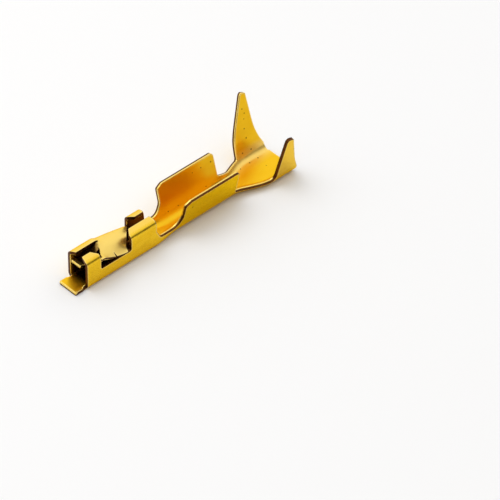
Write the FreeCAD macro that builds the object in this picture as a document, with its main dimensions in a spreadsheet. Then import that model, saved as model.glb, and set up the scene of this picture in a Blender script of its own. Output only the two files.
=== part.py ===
import FreeCAD, Part
import Sketcher
import math
import os
import re

# A one-piece crimp contact: a box that takes a square post, an open wire barrel and an open
# insulation barrel, all stamped and folded from one strip of sheet.
# +X runs from the mating end to the cable end, +Y to the far side, +Z up.
# The origin is in the middle of the floor's underside, at the mouth of the box.

doc = FreeCAD.newDocument("crimp_contact")

# Driving sizes, in millimetres. A lean is a wall's outward run for each millimetre of height, and
# a flat is the level part of a floor, between its two bends.

sizes = doc.addObject("Spreadsheet::Sheet", "sizes")

DRIVING = {
    # the strip
    "sheet_gauge": 0.20,
    # the box
    "box_width": 1.50,
    "box_height": 1.84,
    "box_length": 4.76,
    "floor_bend": 0.35,
    "roof_bend": 0.30,
    "low_wall_height": 0.92,
    "lip_length": 0.72,
    "lip_width": 1.26,
    "lip_corner": 0.05,
    # the front and rear collars, whose flaps close over the top
    "near_flap_reach": 0.57,
    "far_flap_reach": 0.47,
    "flap_bevel": 0.30,
    "flap_lead": 0.14,
    "near_front_collar": 0.95,
    "far_front_collar": 1.72,
    "near_rear_collar": 3.00,
    "far_rear_collar": 3.86,
    # the spring leaf, which folds over from the far wall
    "leaf_front_height": 1.76,
    "leaf_rear_height": 1.16,
    "leaf_arch": 0.12,
    "leaf_crown": 0.04,
    "leaf_crown_bend": 0.90,
    "leaf_front_droop": 0.24,
    "leaf_middle_droop": 0.56,
    "leaf_rear_droop": 0.24,
    "leaf_near_front": 1.06,
    "leaf_far_front": 1.80,
    "leaf_near_rear": 2.84,
    "leaf_far_rear": 3.80,
    "leaf_corner": 0.22,
    "nick_place": 1.98,
    "nick_width": 0.06,
    "nick_depth": 0.24,
    # the contact beam, which runs forward from the leaf into the box
    "beam_gauge": 0.15,
    "beam_width": 0.74,
    "beam_side_gap": 0.03,
    "beam_belly_height": 0.90,
    "beam_belly_place": 0.66,
    "beam_bend": 0.30,
    "beam_tip_height": 1.13,
    "beam_tip_place": 0.04,
    # the shoulder and the wire barrel
    "shoulder_length": 1.62,
    "wire_flat": 0.04,
    "wire_bend": 0.76,
    "wire_lean": 0.25,
    "wire_barrel_length": 3.80,
    "wire_wing_height": 2.17,
    "wire_wing_chamfer": 0.34,
    "wire_wing_corner": 0.14,
    "arch_shoulder_height": 1.08,
    "arch_height": 0.62,
    "arch_run": 0.28,
    "arch_round": 0.24,
    # the neck and the insulation barrel
    "neck_length": 2.32,
    "near_rim_start": 0.57,
    "near_rim_height": 0.40,
    "far_rim_start": 0.74,
    "far_rim_height": 0.30,
    "neck_rim_fall": 0.80,
    "neck_rim_round": 0.14,
    "cable_flat": 1.51,
    "cable_bend": 0.60,
    "cable_lean": 0.26,
    "cable_barrel_length": 1.64,
    "near_wing_height": 3.44,
    "near_wing_place": 2.44,
    "near_wing_sweep": 0.08,
    "near_wing_tip": 0.46,
    "near_wing_waist": 0.40,
    "far_wing_height": 3.84,
    "far_wing_place": 1.80,
    "far_wing_sweep": 1.14,
    "far_wing_tip": 0.40,
    "far_wing_waist": 0.46,
    "wing_waist_height": 1.40,
    "wing_tip_drop": 0.12,
    "wing_tip_corner": 0.10,
    "near_wing_foot": 0.35,
    "far_wing_foot": 0.20,
    "cutoff_width": 1.80,
    "cutoff_length": 0.07,
}

for row, (alias, number) in enumerate(DRIVING.items(), start=1):
    sizes.set(f"A{row}", alias)
    sizes.set(f"B{row}", str(number))
    sizes.setAlias(f"B{row}", alias)
doc.recompute()

# Places that follow from the driving sizes

HALF_BOX = "(box_width / 2)"
SHOULDER_END = "(box_length + shoulder_length)"
WIRE_END = f"({SHOULDER_END} + wire_barrel_length)"
NECK_END = f"({WIRE_END} + neck_length)"
BARREL_END = f"({NECK_END} + cable_barrel_length)"
BLANK_TOP = "(max(far_wing_height; near_wing_height) + 2 * sheet_gauge)"
REACH = "(cable_flat + cable_bend + far_wing_height)"


def bound(expression):
    """The expression with each driving size written as its cell of the sheet."""
    return re.sub(
        r"[a-z_]+", lambda word: f"sizes.{word[0]}" if word[0] in DRIVING else word[0], expression
    )


def value(expression):
    """What the expression comes to now."""
    return float(sizes.evalExpression(bound(expression)))


def new_body(name):
    """An empty body."""
    return doc.addObject("PartDesign::Body", name)


def new_sketch(body, name, role, offset="0"):
    """An empty sketch on one of the body's origin planes, moved along that plane's normal."""
    sketch = body.newObject("Sketcher::SketchObject", name)
    base = [item for item in body.Origin.OriginFeatures if item.Role == role][0]
    sketch.AttachmentSupport = (base, [""])
    sketch.MapMode = "FlatFace"
    sketch.setExpression("AttachmentOffset.Base.z", bound(offset))
    return sketch


def pin_point(sketch, geometry, position, across, up):
    """Places a point of the sketch by two expressions, measured from the sketch's origin."""
    for kind, expression in (("DistanceX", across), ("DistanceY", up)):
        index = sketch.addConstraint(
            Sketcher.Constraint(kind, -1, 1, geometry, position, value(expression))
        )
        sketch.setExpression(f"Constraints[{index}]", bound(expression))


def draw_outline(sketch, corners):
    """Draws a closed outline. A corner is (across, up) or, rounded, (across, up, radius)."""
    count = len(corners)
    spots = [FreeCAD.Vector(value(c[0]), value(c[1]), 0) for c in corners]
    radii = [value(c[2]) if len(c) > 2 else 0 for c in corners]
    trims = []
    for i in range(count):
        before = (spots[i - 1] - spots[i]).normalize()
        after = (spots[(i + 1) % count] - spots[i]).normalize()
        back = radii[i] / math.tan(before.getAngle(after) / 2)
        trims.append((before * back, after * back))
    sides = []
    for i in range(count):
        following = (i + 1) % count
        start = spots[i] + trims[i][1]
        end = spots[following] + trims[following][0]
        sides.append(sketch.addGeometry(Part.LineSegment(start, end), False))
    for i in range(count):
        before, after = sides[i - 1], sides[i]
        if not radii[i]:
            pin_point(sketch, after, 1, corners[i][0], corners[i][1])
            sketch.addConstraint(Sketcher.Constraint("Coincident", before, 2, after, 1))
            continue
        corner = sketch.addGeometry(Part.Point(spots[i]), True)
        pin_point(sketch, corner, 1, corners[i][0], corners[i][1])
        sketch.addConstraint(Sketcher.Constraint("PointOnObject", corner, 1, before))
        sketch.addConstraint(Sketcher.Constraint("PointOnObject", corner, 1, after))
        arc, first, last = add_corner_arc(sketch, spots[i], trims[i], radii[i])
        sketch.addConstraint(Sketcher.Constraint("Tangent", before, 2, arc, first))
        sketch.addConstraint(Sketcher.Constraint("Tangent", after, 1, arc, last))
        index = sketch.addConstraint(Sketcher.Constraint("Radius", arc, radii[i]))
        sketch.setExpression(f"Constraints[{index}]", bound(corners[i][2]))
    return sketch


def add_corner_arc(sketch, spot, trim, radius):
    """Adds the arc that rounds one corner, and says which of its ends comes first."""
    inward = (trim[0] + trim[1]).normalize()
    centre = spot + inward * math.hypot(radius, trim[0].Length)
    middle = centre - inward * radius
    arc = sketch.addGeometry(Part.Arc(spot + trim[0], middle, spot + trim[1]), False)
    turns_left = trim[0].cross(trim[1]).z < 0
    return (arc, 1, 2) if turns_left else (arc, 2, 1)


def pad(body, name, sketch, length):
    """Adds the sketch's prism, along the sketch's normal."""
    feature = body.newObject("PartDesign::Pad", name)
    feature.Profile = sketch
    feature.setExpression("Length", bound(length))
    return feature


def pocket(body, name, sketch, depth, along_normal):
    """Cuts the sketch's prism, along the sketch's normal or against it."""
    feature = body.newObject("PartDesign::Pocket", name)
    feature.Profile = sketch
    feature.Reversed = along_normal
    feature.setExpression("Length", bound(depth))
    return feature


def loft(body, name, kind, sketches):
    """Adds or cuts a smooth loft through the sketches."""
    feature = body.newObject(f"PartDesign::{kind}Loft", name)
    feature.Profile = sketches[0]
    feature.Sections = sketches[1:]
    return feature


# The box, with its two collars and the lip


def box_section(body, name, inset):
    """The box's section across X, drawn in by an inset."""
    side = f"{HALF_BOX} - {inset}"
    top = f"box_height - {inset}"
    return draw_outline(
        new_sketch(body, name, "YZ_Plane"),
        [
            (f"-({side})", inset, f"floor_bend - {inset}"),
            (side, inset, f"floor_bend - {inset}"),
            (side, top, f"roof_bend - {inset}"),
            (f"-({side})", top, f"roof_bend - {inset}"),
        ],
    )


def roof_opening(body):
    """The top view of what is open between the four flaps."""
    near_edge = f"near_flap_reach - {HALF_BOX}"
    far_edge = f"{HALF_BOX} - far_flap_reach"
    near_bend = f"-({HALF_BOX} - sheet_gauge)"
    far_bend = f"{HALF_BOX} - sheet_gauge"
    outside = "box_width"
    beyond = "box_length + sheet_gauge"
    return draw_outline(
        new_sketch(body, "roof_opening", "XY_Plane", "box_height - roof_bend"),
        [
            ("-sheet_gauge", near_bend),
            ("0", near_bend),
            ("flap_lead", near_edge),
            ("near_front_collar - flap_bevel", near_edge),
            ("near_front_collar", near_bend),
            ("near_front_collar", f"-{outside}"),
            ("near_rear_collar", f"-{outside}"),
            ("near_rear_collar", near_bend),
            ("near_rear_collar + flap_bevel", near_edge),
            (beyond, near_edge),
            (beyond, far_edge),
            ("far_rear_collar + flap_bevel", far_edge),
            ("far_rear_collar", far_bend),
            ("far_rear_collar", outside),
            ("far_front_collar", outside),
            ("far_front_collar", far_edge),
            ("flap_lead", far_edge),
            ("0", far_bend),
            ("-sheet_gauge", far_bend),
        ],
    )


def side_window(body, name, front, rear):
    """The side view of the stretch where a wall stands low between the collars."""
    top = "box_height + sheet_gauge"
    round_foot = "sheet_gauge / 2"
    return draw_outline(
        new_sketch(body, name, "XZ_Plane"),
        [
            (front, "low_wall_height", round_foot),
            (rear, "low_wall_height", round_foot),
            (rear, top),
            (front, top),
        ],
    )


def build_box():
    """The folded box, open at both ends."""
    body = new_body("box")
    pad(body, "tube", box_section(body, "tube_outside", "0"), "box_length")
    pocket(body, "bore", box_section(body, "tube_inside", "sheet_gauge"), "box_length", True)
    pocket(body, "open_roof", roof_opening(body), "box_height", True)
    near = side_window(body, "near_window", "near_front_collar", "near_rear_collar")
    pocket(body, "cut_near_window", near, "box_width", True)
    far = side_window(body, "far_window", "far_front_collar", "far_rear_collar")
    pocket(body, "cut_far_window", far, "box_width", False)
    lip = draw_outline(
        new_sketch(body, "lip_outline", "XY_Plane"),
        [
            ("-lip_length", "-lip_width / 2", "lip_corner"),
            ("0", "-lip_width / 2"),
            ("0", "lip_width / 2"),
            ("-lip_length", "lip_width / 2", "lip_corner"),
        ],
    )
    pad(body, "lip", lip, "sheet_gauge")
    return body


# The spring leaf and its contact beam


def leaf_section(body, name, place, height, droop):
    """The leaf across X: up the far wall, over a bend, across a crown and down to its free edge."""
    side = HALF_BOX
    inner_side = f"({HALF_BOX} - sheet_gauge)"
    base = "low_wall_height - sheet_gauge"
    edge = f"-({HALF_BOX} + sheet_gauge / 8)"
    return draw_outline(
        new_sketch(body, name, "YZ_Plane", place),
        [
            (inner_side, base),
            (side, base),
            (side, height, "roof_bend"),
            ("0", f"{height} + leaf_crown", "leaf_crown_bend"),
            (edge, f"{height} - {droop}"),
            (edge, f"{height} - {droop} - sheet_gauge"),
            ("0", f"{height} + leaf_crown - sheet_gauge", "leaf_crown_bend - sheet_gauge"),
            (inner_side, f"{height} - sheet_gauge", "roof_bend - sheet_gauge"),
        ],
    )


def leaf_stations():
    """The leaf's sections: for each its place, its height and its droop, as expressions."""
    start = "(leaf_near_front - sheet_gauge)"
    level = "(leaf_far_front - leaf_near_front)"
    stations = [(start, "leaf_front_height", "leaf_front_droop")]
    steps = 4
    for step in range(steps + 1):
        share = step / steps
        bulge = 4 * share * (1 - share)
        place = f"(leaf_near_front + {level} / 2 + (leaf_far_rear - leaf_near_front - {level} / 2) * {share})"
        height = (
            f"(leaf_front_height + (leaf_rear_height - leaf_front_height) * {share}"
            f" + leaf_arch * {bulge})"
        )
        droop = (
            f"(leaf_front_droop + (leaf_rear_droop - leaf_front_droop) * {share}"
            f" + (leaf_middle_droop - (leaf_front_droop + leaf_rear_droop) / 2) * {bulge})"
        )
        stations.append((place, height, droop))
    return stations


def leaf_front_cut(body):
    """The top view of what is trimmed off in front of the leaf's slanting front edge."""
    front = "-sheet_gauge"
    side = "box_width"
    seam = "far_front_collar - sheet_gauge / 2"
    flap_edge = f"{HALF_BOX} - far_flap_reach"
    return draw_outline(
        new_sketch(body, "leaf_front_trim", "XY_Plane"),
        [
            (front, f"-{side}"),
            ("leaf_near_front", f"-{side}"),
            ("leaf_near_front", f"-({HALF_BOX})", "sheet_gauge / 2"),
            ("leaf_far_front", flap_edge),
            (seam, flap_edge),
            (seam, side),
            (front, side),
        ],
    )


def leaf_rear_cut(body):
    """The top view of what is trimmed off behind the leaf's slanting rear edge."""
    rear = "far_rear_collar + box_width"
    side = "box_width"
    return draw_outline(
        new_sketch(body, "leaf_rear_trim", "XY_Plane"),
        [
            (rear, f"-{side}"),
            (rear, side),
            ("leaf_far_rear", side),
            ("leaf_far_rear", f"{HALF_BOX} - roof_bend"),
            ("leaf_near_rear", f"-({HALF_BOX} - leaf_corner)", "leaf_corner"),
            ("leaf_near_rear - leaf_corner", f"-{side}"),
        ],
    )


def leaf_nick(body):
    """The top view of the small nick in the leaf's free edge."""
    edge = f"-({HALF_BOX} + sheet_gauge)"
    return draw_outline(
        new_sketch(body, "nick_outline", "XY_Plane"),
        [
            ("nick_place - nick_width / 2", edge),
            ("nick_place + nick_width", edge),
            ("nick_place - nick_width", f"{edge} + sheet_gauge + nick_depth"),
        ],
    )


def beam_section(body, name, place, ridge):
    """The beam's side view: down from the leaf's front edge to a belly, then up to the tip."""
    root = f"({ridge} + sheet_gauge)"
    top = "(leaf_front_height - sheet_gauge / 2)"
    tip_top = "beam_tip_height + beam_gauge"
    belly_top = "beam_belly_height + beam_gauge"
    return draw_outline(
        new_sketch(body, name, "XZ_Plane", f"-({place})"),
        [
            (root, f"{top} - beam_gauge"),
            (root, top),
            (ridge, top, "beam_bend"),
            ("beam_belly_place", belly_top, "beam_bend"),
            ("beam_tip_place", tip_top),
            ("beam_tip_place", "beam_tip_height"),
            ("beam_belly_place", "beam_belly_height", "beam_bend + beam_gauge"),
            (ridge, f"{top} - beam_gauge", "beam_bend - beam_gauge"),
        ],
    )


def build_leaf():
    """The leaf and its beam."""
    body = new_body("spring")
    sections = [
        leaf_section(body, f"leaf_section_{i}", *station)
        for i, station in enumerate(leaf_stations())
    ]
    loft(body, "leaf", "Additive", sections)
    for name, trim in (
        ("trim_front", leaf_front_cut(body)),
        ("trim_rear", leaf_rear_cut(body)),
        ("cut_nick", leaf_nick(body)),
    ):
        pocket(body, name, trim, BLANK_TOP, True)
    far_side = f"{HALF_BOX} - sheet_gauge - beam_side_gap"
    near_ridge = (
        "leaf_far_front - (leaf_far_front - leaf_near_front) * beam_width"
        " / (box_width - sheet_gauge - beam_side_gap)"
    )
    sides = [
        beam_section(body, "beam_far_side", far_side, "leaf_far_front"),
        beam_section(body, "beam_near_side", f"{far_side} - beam_width", near_ridge),
    ]
    loft(body, "beam", "Additive", sides)
    return body


# The shoulder, the wire barrel, the neck and the insulation barrel


def trough_section(body, name, place, flat, bend, lean, inset):
    """A trough across X, drawn in by an inset: a flat, a bend on each side and leaning walls."""
    foot = f"({flat} / 2 + ({bend} - {inset}) * (sqrt(1 + {lean} ^ 2) - {lean}))"
    rise = f"({BLANK_TOP} - {inset})"
    top = f"({foot} + {rise} * {lean})"
    return draw_outline(
        new_sketch(body, name, "YZ_Plane", place),
        [
            (f"-{foot}", inset, f"{bend} - {inset}"),
            (foot, inset, f"{bend} - {inset}"),
            (top, BLANK_TOP),
            (f"-{top}", BLANK_TOP),
        ],
    )


def between(first, second, share):
    """An expression for what lies a share of the way from one size to another."""
    return f"({first} + ({second} - {first}) * {share})"


def eased_stations(start, end, before, after, steps):
    """Sections that turn gently from one trough to another, between two places."""
    stations = []
    for step in range(steps + 1):
        share = step / steps
        eased = round(share * share * (3 - 2 * share), 4)
        shape = [between(a, b, eased) for a, b in zip(before, after)]
        stations.append((between(start, end, share), *shape))
    return stations


def trough_stretches():
    """The trough's stretches, each a list of sections: place, flat, bend and lean."""
    box = ("(box_width - 2 * floor_bend)", "floor_bend", "0")
    wire = ("wire_flat", "wire_bend", "wire_lean")
    cable = ("cable_flat", "cable_bend", "cable_lean")
    shoulder = eased_stations("box_length", SHOULDER_END, box, wire, 4)
    neck = eased_stations(WIRE_END, NECK_END, wire, cable, 6)
    return {
        "shoulder": shoulder,
        "wire_barrel": [shoulder[-1], neck[0]],
        "neck": neck,
        "cable_barrel": [neck[-1], (BARREL_END, *cable)],
    }


def rim(body, name, side):
    """The side view of what is cut away above one side's rim, from the box to the cable end."""
    above = f"{BLANK_TOP} + sheet_gauge"
    height = f"{side}_wing_height"
    rim_start = f"({WIRE_END} + sheet_gauge / 2)"
    rim_height = f"{side}_rim_height"
    wing_start = f"({WIRE_END} + {side}_wing_place)"
    tip_start = f"({wing_start} + {side}_wing_sweep)"
    tip_middle = f"({tip_start} + {side}_wing_tip * 0.3)"
    tip_end = f"({tip_start} + {side}_wing_tip)"
    front_waist = f"({wing_start} + {side}_wing_sweep * 0.2)"
    rear_waist = f"({BARREL_END} - {side}_wing_waist)"
    return draw_outline(
        new_sketch(body, name, "XZ_Plane"),
        [
            ("box_length - sheet_gauge", above),
            ("box_length - sheet_gauge", "arch_shoulder_height"),
            ("box_length + sheet_gauge / 4", "arch_shoulder_height"),
            ("box_length + arch_run", "arch_height", "arch_round"),
            (f"{SHOULDER_END} - arch_run", "arch_height", "arch_round"),
            (SHOULDER_END, "arch_shoulder_height", "arch_round"),
            (SHOULDER_END, "wire_wing_height - wire_wing_chamfer / 2", "wire_wing_corner"),
            (f"{SHOULDER_END} + wire_wing_chamfer", "wire_wing_height", "wire_wing_corner"),
            (WIRE_END, "wire_wing_height", "wire_wing_corner"),
            (rim_start, f"{side}_rim_start", "neck_rim_round"),
            (f"{rim_start} + neck_rim_fall", rim_height, "neck_rim_fall"),
            (wing_start, rim_height, f"{side}_wing_foot"),
            (front_waist, "wing_waist_height", "wing_waist_height"),
            (tip_start, f"{height} - wing_tip_drop", "wing_tip_corner"),
            (tip_middle, height, "wing_tip_corner"),
            (tip_end, f"{height} - wing_tip_drop", "wing_tip_corner"),
            (rear_waist, "wing_waist_height", "wing_waist_height"),
            (f"{BARREL_END} + cutoff_length", "sheet_gauge * 1.5"),
            (f"{BARREL_END} + cutoff_length", above),
        ],
    )


def build_barrels():
    """The trough behind the box, with its rims cut to shape."""
    body = new_body("barrels")
    for kind, inset in (("Additive", "0"), ("Subtractive", "sheet_gauge")):
        for stretch, stations in trough_stretches().items():
            sections = [
                trough_section(body, f"{stretch}_{kind}_{i}", *station, inset)
                for i, station in enumerate(stations)
            ]
            loft(body, f"{kind}_{stretch}", kind, sections)
    pocket(body, "cut_near_rim", rim(body, "near_rim", "near"), REACH, True)
    pocket(body, "cut_far_rim", rim(body, "far_rim", "far"), REACH, False)
    cutoff = draw_outline(
        new_sketch(body, "cutoff_outline", "XY_Plane"),
        [
            (BARREL_END, "-cutoff_width / 2"),
            (f"{BARREL_END} + cutoff_length", "-cutoff_width / 2"),
            (f"{BARREL_END} + cutoff_length", "cutoff_width / 2"),
            (BARREL_END, "cutoff_width / 2"),
        ],
    )
    pad(body, "cutoff", cutoff, "sheet_gauge")
    return body


def join(name, bodies):
    """One piece of sheet from the bodies."""
    whole = doc.addObject("Part::MultiFuse", name)
    whole.Shapes = bodies
    whole.Label = name
    return whole


def check(piece):
    """Stops if any object of the document failed, or if the piece isn't one valid solid."""
    for item in doc.Objects:
        if "Invalid" in item.State or "Error" in item.State:
            raise RuntimeError(f"{item.Name} failed: {item.State}")
    shape = piece.Shape
    if shape.isNull() or not shape.isValid() or len(shape.Solids) != 1:
        raise RuntimeError(f"{piece.Label} is not one valid solid")


contact = join("crimp_contact", [build_box(), build_leaf(), build_barrels()])
doc.recompute()
check(contact)
os.makedirs("parts", exist_ok=True)
contact.Shape.exportStep(f"parts/{contact.Label}.step")
print(contact.Label, "volume", round(contact.Shape.Volume, 3), contact.Shape.BoundBox)
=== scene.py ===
# %% [markdown]
# A crimp contact is one strip of gold-plated sheet. A press cuts a flat blank out of the strip,
# and a tool then folds it up. This lesson builds the contact the same way. It draws the blank's
# outline, fills it with a mesh, folds each point of it into place, gives the sheet its thickness
# and its sheared edges, and then plates it with gold. A box modelled from cubes would be quicker,
# but its edges would have no rolled side and no torn side, and those thin lines are what the eye
# sees first.

# %% Load the frame
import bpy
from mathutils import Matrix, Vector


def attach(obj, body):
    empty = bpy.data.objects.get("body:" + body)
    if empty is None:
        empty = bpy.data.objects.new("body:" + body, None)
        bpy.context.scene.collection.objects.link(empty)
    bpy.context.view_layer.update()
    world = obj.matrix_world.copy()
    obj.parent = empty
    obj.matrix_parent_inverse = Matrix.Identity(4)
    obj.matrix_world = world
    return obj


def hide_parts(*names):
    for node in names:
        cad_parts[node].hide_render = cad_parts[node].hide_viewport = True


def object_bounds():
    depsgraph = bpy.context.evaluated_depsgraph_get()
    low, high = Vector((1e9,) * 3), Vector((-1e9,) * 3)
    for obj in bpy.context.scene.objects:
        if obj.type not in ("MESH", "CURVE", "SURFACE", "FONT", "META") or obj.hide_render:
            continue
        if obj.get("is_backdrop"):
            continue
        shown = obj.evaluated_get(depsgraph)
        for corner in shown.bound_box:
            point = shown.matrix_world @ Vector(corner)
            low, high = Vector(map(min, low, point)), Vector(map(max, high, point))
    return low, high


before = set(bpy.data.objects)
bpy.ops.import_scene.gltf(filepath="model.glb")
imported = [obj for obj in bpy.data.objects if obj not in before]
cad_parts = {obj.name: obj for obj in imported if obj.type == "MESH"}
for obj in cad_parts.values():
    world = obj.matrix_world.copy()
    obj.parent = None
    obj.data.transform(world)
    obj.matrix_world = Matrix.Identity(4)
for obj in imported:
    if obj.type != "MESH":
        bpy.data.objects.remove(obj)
cad_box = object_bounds()
cad_size = [round(c * 1000, 2) for c in cad_box[1] - cad_box[0]]
print("frame:", sorted(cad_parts), "box", cad_size)

# %% The tools this lesson needs
import math
import random

import bpy
import numpy as np
from mathutils import Matrix, Vector
from mathutils.geometry import delaunay_2d_cdt

MM = 0.001
bpy.context.scene.view_settings.view_transform = "Standard"
print("Blender", bpy.app.version_string)

# %% [markdown]
# The camera stands where the photographer stood, a long way off for such a small thing, with a
# long lens. It is set first, because every later choice is judged through it. The place could be
# found by eye, but measuring a few corners of the contact gives the azimuth, the height and the
# lens at once.

# %% Set the camera
AZIMUTH = math.radians(-43.734)
ELEVATION = math.radians(42.022)
ROLL = math.radians(0.619)
DISTANCE = 201.192 * MM
AIM = Vector((7.628, -4.656, 0.7)) * MM
FOCAL_IN_PICTURES = 3933.848 / 500
SENSOR = 36.0


def photo_camera():
    """The camera at the photograph's place, turned a little about its own axis."""
    ahead = Vector((
        -math.sin(AZIMUTH) * math.cos(ELEVATION),
        math.cos(AZIMUTH) * math.cos(ELEVATION),
        -math.sin(ELEVATION),
    ))
    level = Vector((math.cos(AZIMUTH), math.sin(AZIMUTH), 0))
    above = level.cross(ahead)
    right = level * math.cos(ROLL) + above * math.sin(ROLL)
    up = above * math.cos(ROLL) - level * math.sin(ROLL)
    data = bpy.data.cameras.new("photo_camera")
    data.sensor_width = SENSOR
    data.lens = FOCAL_IN_PICTURES * SENSOR
    data.clip_start = DISTANCE / 100
    data.clip_end = DISTANCE * 100
    camera = bpy.data.objects.new("photo_camera", data)
    bpy.context.scene.collection.objects.link(camera)
    turn = Matrix((right, up, -ahead)).transposed()
    camera.matrix_world = Matrix.LocRotScale(AIM - ahead * DISTANCE, turn, None)
    bpy.context.scene.camera = camera
    return camera


camera = photo_camera()
print("camera at", [round(c * 1000) for c in camera.location], "mm")

# %% [markdown]
# The blank needs two coordinates. One is x, the place along the contact. The other, called v
# here, runs across the strip: 0 in the middle of the floor, larger going up the far side and
# negative going up the near one. Bends sit at fixed values of v, so the rows of the mesh run
# along the folds and never across them. Plain distance across the strip would do as well on a
# straight box, but here the floor's width changes with x.

# %% The sizes of the strip and the box, in millimetres
GAUGE = 0.20
BOX_HALF = 0.75
BOX_HEIGHT = 1.84
BOX_LENGTH = 4.76
FLOOR_BEND = 0.35
ROOF_BEND = 0.30
KNOT = 0.80
FLOOR_V = 0.5
BEND_V = 1.2
KNOT_V = BEND_V + KNOT - FLOOR_BEND
ROOF_V = KNOT_V + BOX_HEIGHT - ROOF_BEND - KNOT + ROOF_BEND * math.pi / 2
LIP_END = -0.72
SHOULDER_END = BOX_LENGTH + 1.62
WIRE_END = SHOULDER_END + 3.80
NECK_END = WIRE_END + 2.32
BARREL_END = NECK_END + 1.64
print("blank rows: bend at", BEND_V, "roof at", round(ROOF_V, 3))


# %% Small helpers for easing and mixing
def ease(share):
    """A share from 0 to 1, with gentle ends."""
    share = min(max(share, 0.0), 1.0)
    return share * share * (3 - 2 * share)


def mix(first, second, share):
    """A value a share of the way from one to another."""
    return first + (second - first) * share


print("half way:", ease(0.5), mix(2, 4, 0.5))

# %% [markdown]
# Many lines of the contact are straight runs with rounded corners: the section of the box, the
# side view of a wing, the beam's path. One small class draws them all. It can be walked by
# distance, which folding needs, or sampled into points, which an outline needs. Bezier curves
# could hold the same shapes, but their corners wouldn't be true arcs.

# %% A path with rounded corners
ARC_STEP = 0.3


class Path:
    """A line through corners (a, b) or (a, b, radius), walked by distance."""

    def __init__(self, corners):
        spots = [Vector(c[:2]) for c in corners]
        radii = [c[2] if len(c) > 2 else 0.0 for c in corners]
        self.pieces = []
        self.length = 0.0
        start = spots[0]
        for i in range(1, len(spots)):
            if i == len(spots) - 1 or not radii[i]:
                self.add_line(start, spots[i])
                start = spots[i]
                continue
            back = (spots[i - 1] - spots[i]).normalized()
            onward = (spots[i + 1] - spots[i]).normalized()
            turn = math.pi - back.angle(onward)
            trim = radii[i] * math.tan(turn / 2)
            self.add_line(start, spots[i] + back * trim)
            if turn > 1e-6:
                self.add_arc(spots[i], back, onward, radii[i], trim, turn)
            start = spots[i] + onward * trim

    def add_line(self, start, end):
        """Adds a straight run."""
        run = (end - start).length
        if run > 1e-9:
            self.pieces.append(("line", run, start, (end - start) / run))
            self.length += run

    def add_arc(self, corner, back, onward, radius, trim, turn):
        """Adds the arc that rounds a corner."""
        centre = corner + (back + onward).normalized() * math.hypot(radius, trim)
        spoke = corner + back * trim - centre
        sign = 1 if back.cross(onward) < 0 else -1
        self.pieces.append(("arc", radius * turn, centre, spoke, sign / radius))
        self.length += radius * turn

    def at(self, distance):
        """The point at a distance from the start. Past either end the path runs on."""
        for i, piece in enumerate(self.pieces):
            if distance <= piece[1] or i == len(self.pieces) - 1:
                break
            distance -= piece[1]
        if piece[0] == "line":
            return piece[2] + piece[3] * distance
        angle = distance * piece[4]
        spoke = piece[3]
        return piece[2] + Vector((
            spoke.x * math.cos(angle) - spoke.y * math.sin(angle),
            spoke.x * math.sin(angle) + spoke.y * math.cos(angle),
        ))

    def points(self, step):
        """Points along the path, no further apart than a step, and close together on arcs."""
        found = []
        for piece in self.pieces:
            count = max(1, math.ceil(piece[1] / step))
            if piece[0] == "arc":
                count = max(3, count, math.ceil(piece[1] * abs(piece[4]) / ARC_STEP))
            base = sum(p[1] for p in self.pieces[:self.pieces.index(piece)])
            found += [self.at(base + piece[1] * k / count) for k in range(count)]
        return found + [self.at(self.length)]


corner = Path([(0, 0), (1, 0, 0.5), (1, 1)])
print("a rounded square corner is", round(corner.length, 3), "mm long")

# %% [markdown]
# Folding starts with the lower part, which is the same idea all along the contact: a level floor,
# a bend and a wall that may lean out. Its three sizes change gently from the box to the wire
# barrel and again to the insulation barrel, which is wider. Straight slopes between them would be
# simpler, but each would start and end in a kink, and the real neck has none.

# %% Fold the trough
BOX_TROUGH = (2 * (BOX_HALF - FLOOR_BEND), FLOOR_BEND, 0.0)
WIRE_TROUGH = (0.04, 0.76, 0.25)
CABLE_TROUGH = (1.51, 0.60, 0.26)


def trough_at(x):
    """The width of the flat, the bend's radius and the wall's lean at a place."""
    if x <= BOX_LENGTH:
        return BOX_TROUGH
    if x < WIRE_END:
        share = ease((x - BOX_LENGTH) / (SHOULDER_END - BOX_LENGTH))
        return [mix(a, b, share) for a, b in zip(BOX_TROUGH, WIRE_TROUGH)]
    share = ease((x - WIRE_END) / (NECK_END - WIRE_END))
    return [mix(a, b, share) for a, b in zip(WIRE_TROUGH, CABLE_TROUGH)]


def trough_fold(x, v):
    """Where a row of the blank comes to lie across and up, on the trough's outside."""
    flat, bend, lean = trough_at(x)
    tilt = math.atan(lean)
    sweep = math.pi / 2 - tilt
    if v <= FLOOR_V:
        return Vector((flat / 2 * v / FLOOR_V, 0))
    turn = sweep * min((v - FLOOR_V) / (BEND_V - FLOOR_V), 1)
    spot = Vector((flat / 2 + bend * math.sin(turn), bend * (1 - math.cos(turn))))
    rise = max(v - BEND_V, 0)
    return spot + Vector((math.sin(tilt), math.cos(tilt))) * rise


def rim_row(x, z):
    """The row of the blank that reaches a height on the trough's wall."""
    _, bend, lean = trough_at(x)
    tilt = math.atan(lean)
    sweep = math.pi / 2 - tilt
    bend_top = bend * (1 - math.cos(sweep))
    if z >= bend_top:
        return BEND_V + (z - bend_top) / math.cos(tilt)
    return FLOOR_V + (BEND_V - FLOOR_V) * math.acos(1 - z / bend) / sweep


print("wire barrel's wall 1 mm up:", [round(c, 3) for c in trough_fold(8, rim_row(8, 1.0))])

# %% [markdown]
# Above the window's sill the sides fold over into a roof. The collars' flaps lie level at the
# box's full height. The spring leaf comes from the far side, stands lower towards its rear, and
# is crowned: it rises a little to the middle and slopes down to a free edge that hangs over the
# near wall. Both are one path across the contact with different heights, so one function folds
# them. Two separate pieces would need a seam, and the real sheet has none there.

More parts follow.
